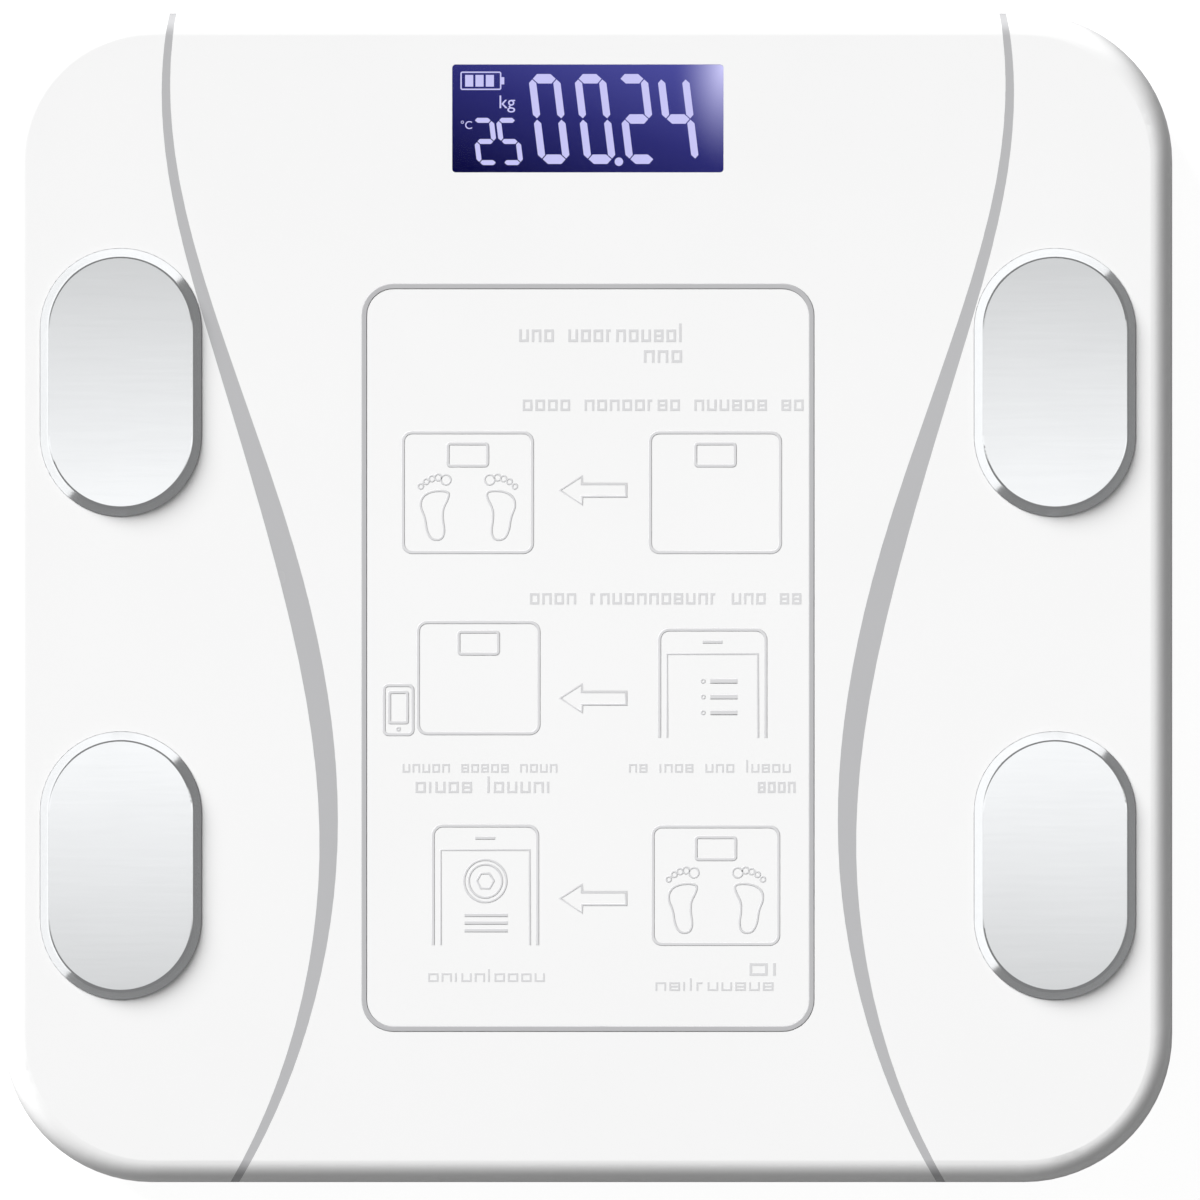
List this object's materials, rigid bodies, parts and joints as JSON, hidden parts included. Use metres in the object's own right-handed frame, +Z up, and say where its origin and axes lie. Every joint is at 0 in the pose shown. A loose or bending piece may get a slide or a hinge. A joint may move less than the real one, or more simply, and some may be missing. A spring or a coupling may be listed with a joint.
{
  "type": "digital bathroom scale",
  "caption": "Square digital bathroom scale: white casing with rounded corners, raised steel foot electrodes, display window, sprung feet and an underside battery door.",
  "frame": {"origin": "on the floor under the centre of the casing", "axes": "+Z up, +Y to the toe edge with the display, +X to the right of a person facing the display"},
  "size_m": [0.26, 0.26, 0.026],
  "materials": {
    "casing_white": "glossy moulded white",
    "base_white": "fine spark texture",
    "line_grey": "glossy grey inlay",
    "electrode_steel": "satin stainless sheet",
    "lens_clear": "clear polished",
    "tape_black": "matt film",
    "display_blue": "dark blue glass with pale segments",
    "guide_milky": "milky light guide",
    "strip_pink": "silicone rubber",
    "board_green": "solder mask",
    "parts_black": "moulded black",
    "sensor_steel": "plated sheet",
    "socket_ivory": "moulded ivory",
    "button_grey": "fine texture",
    "foot_plastic": "fine texture",
    "sole_rubber": "matt rubber",
    "cell_sleeve": "printed sleeve without words",
    "contact_nickel": "nickel plate",
    "screw_steel": "zinc plate",
    "lead_sleeve": "vinyl sleeve"
  },
  "bodies": {
    "casing": {"backlight_guide": "guide_milky", "base_cover": "base_white", "battery_1": "cell_sleeve", "battery_2": "cell_sleeve", "battery_3": "cell_sleeve", "battery_lead": "lead_sleeve", "battery_leaves": "contact_nickel", "battery_plates": "contact_nickel", "board_screws": "screw_steel", "case_screws": "screw_steel", "cell_lead_heel_left": "lead_sleeve", "cell_lead_heel_right": "lead_sleeve", "cell_lead_toe_left": "lead_sleeve", "cell_lead_toe_right": "lead_sleeve", "connector_strips": "strip_pink", "controller_chip": "parts_black", "display_glass": "display_blue", "display_holder": "parts_black", "display_lens": "lens_clear", "electrode_glue": "tape_black", "electrode_heel_left": "electrode_steel", "electrode_heel_right": "electrode_steel", "electrode_lead_heel_left": "lead_sleeve", "electrode_lead_heel_right": "lead_sleeve", "electrode_lead_toe_left": "lead_sleeve", "electrode_lead_toe_right": "lead_sleeve", "electrode_nuts": "screw_steel", "electrode_toe_left": "electrode_steel", "electrode_toe_right": "electrode_steel", "lead_sockets": "socket_ivory", "lens_tape": "tape_black", "line_inlay_left": "line_grey", "line_inlay_right": "line_grey", "load_cell_heel_left": "sensor_steel", "load_cell_heel_right": "sensor_steel", "load_cell_toe_left": "sensor_steel", "load_cell_toe_right": "sensor_steel", "main_board": "board_green", "push_switch": "parts_black", "radio_module": "sensor_steel", "ring_terminals": "contact_nickel", "top_cover": "casing_white"},
    "foot_toe_left": {"foot_cup_toe_left": "foot_plastic", "foot_sole_toe_left": "sole_rubber"},
    "foot_toe_right": {"foot_cup_toe_right": "foot_plastic", "foot_sole_toe_right": "sole_rubber"},
    "foot_heel_left": {"foot_cup_heel_left": "foot_plastic", "foot_sole_heel_left": "sole_rubber"},
    "foot_heel_right": {"foot_cup_heel_right": "foot_plastic", "foot_sole_heel_right": "sole_rubber"},
    "door": {"battery_door": "base_white"},
    "button": {"unit_button": "button_grey", "switch_plunger": "socket_ivory"}
  },
  "joints": [
    {"name": "foot_press_toe_left", "type": "slide", "parent": "casing", "child": "foot_toe_left", "axis": [0, 0, 1], "range_m": [0, 0.0008], "stiffness_N_per_m": 200000, "deforming": ["load_cell_toe_left"]},
    {"name": "foot_press_toe_right", "type": "slide", "parent": "casing", "child": "foot_toe_right", "axis": [0, 0, 1], "range_m": [0, 0.0008], "stiffness_N_per_m": 200000, "deforming": ["load_cell_toe_right"]},
    {"name": "foot_press_heel_left", "type": "slide", "parent": "casing", "child": "foot_heel_left", "axis": [0, 0, 1], "range_m": [0, 0.0008], "stiffness_N_per_m": 200000, "deforming": ["load_cell_heel_left"]},
    {"name": "foot_press_heel_right", "type": "slide", "parent": "casing", "child": "foot_heel_right", "axis": [0, 0, 1], "range_m": [0, 0.0008], "stiffness_N_per_m": 200000, "deforming": ["load_cell_heel_right"]},
    {"name": "door_hinge", "type": "hinge", "parent": "casing", "child": "door", "pos_m": [0, -0.01835, 0.0056], "axis": [-1, 0, 0], "range_deg": [0, 75]},
    {"name": "button_press", "type": "slide", "parent": "casing", "child": "button", "axis": [0, 0, 1], "range_m": [0, 0.0006], "stiffness_N_per_m": 1500}
  ]
}
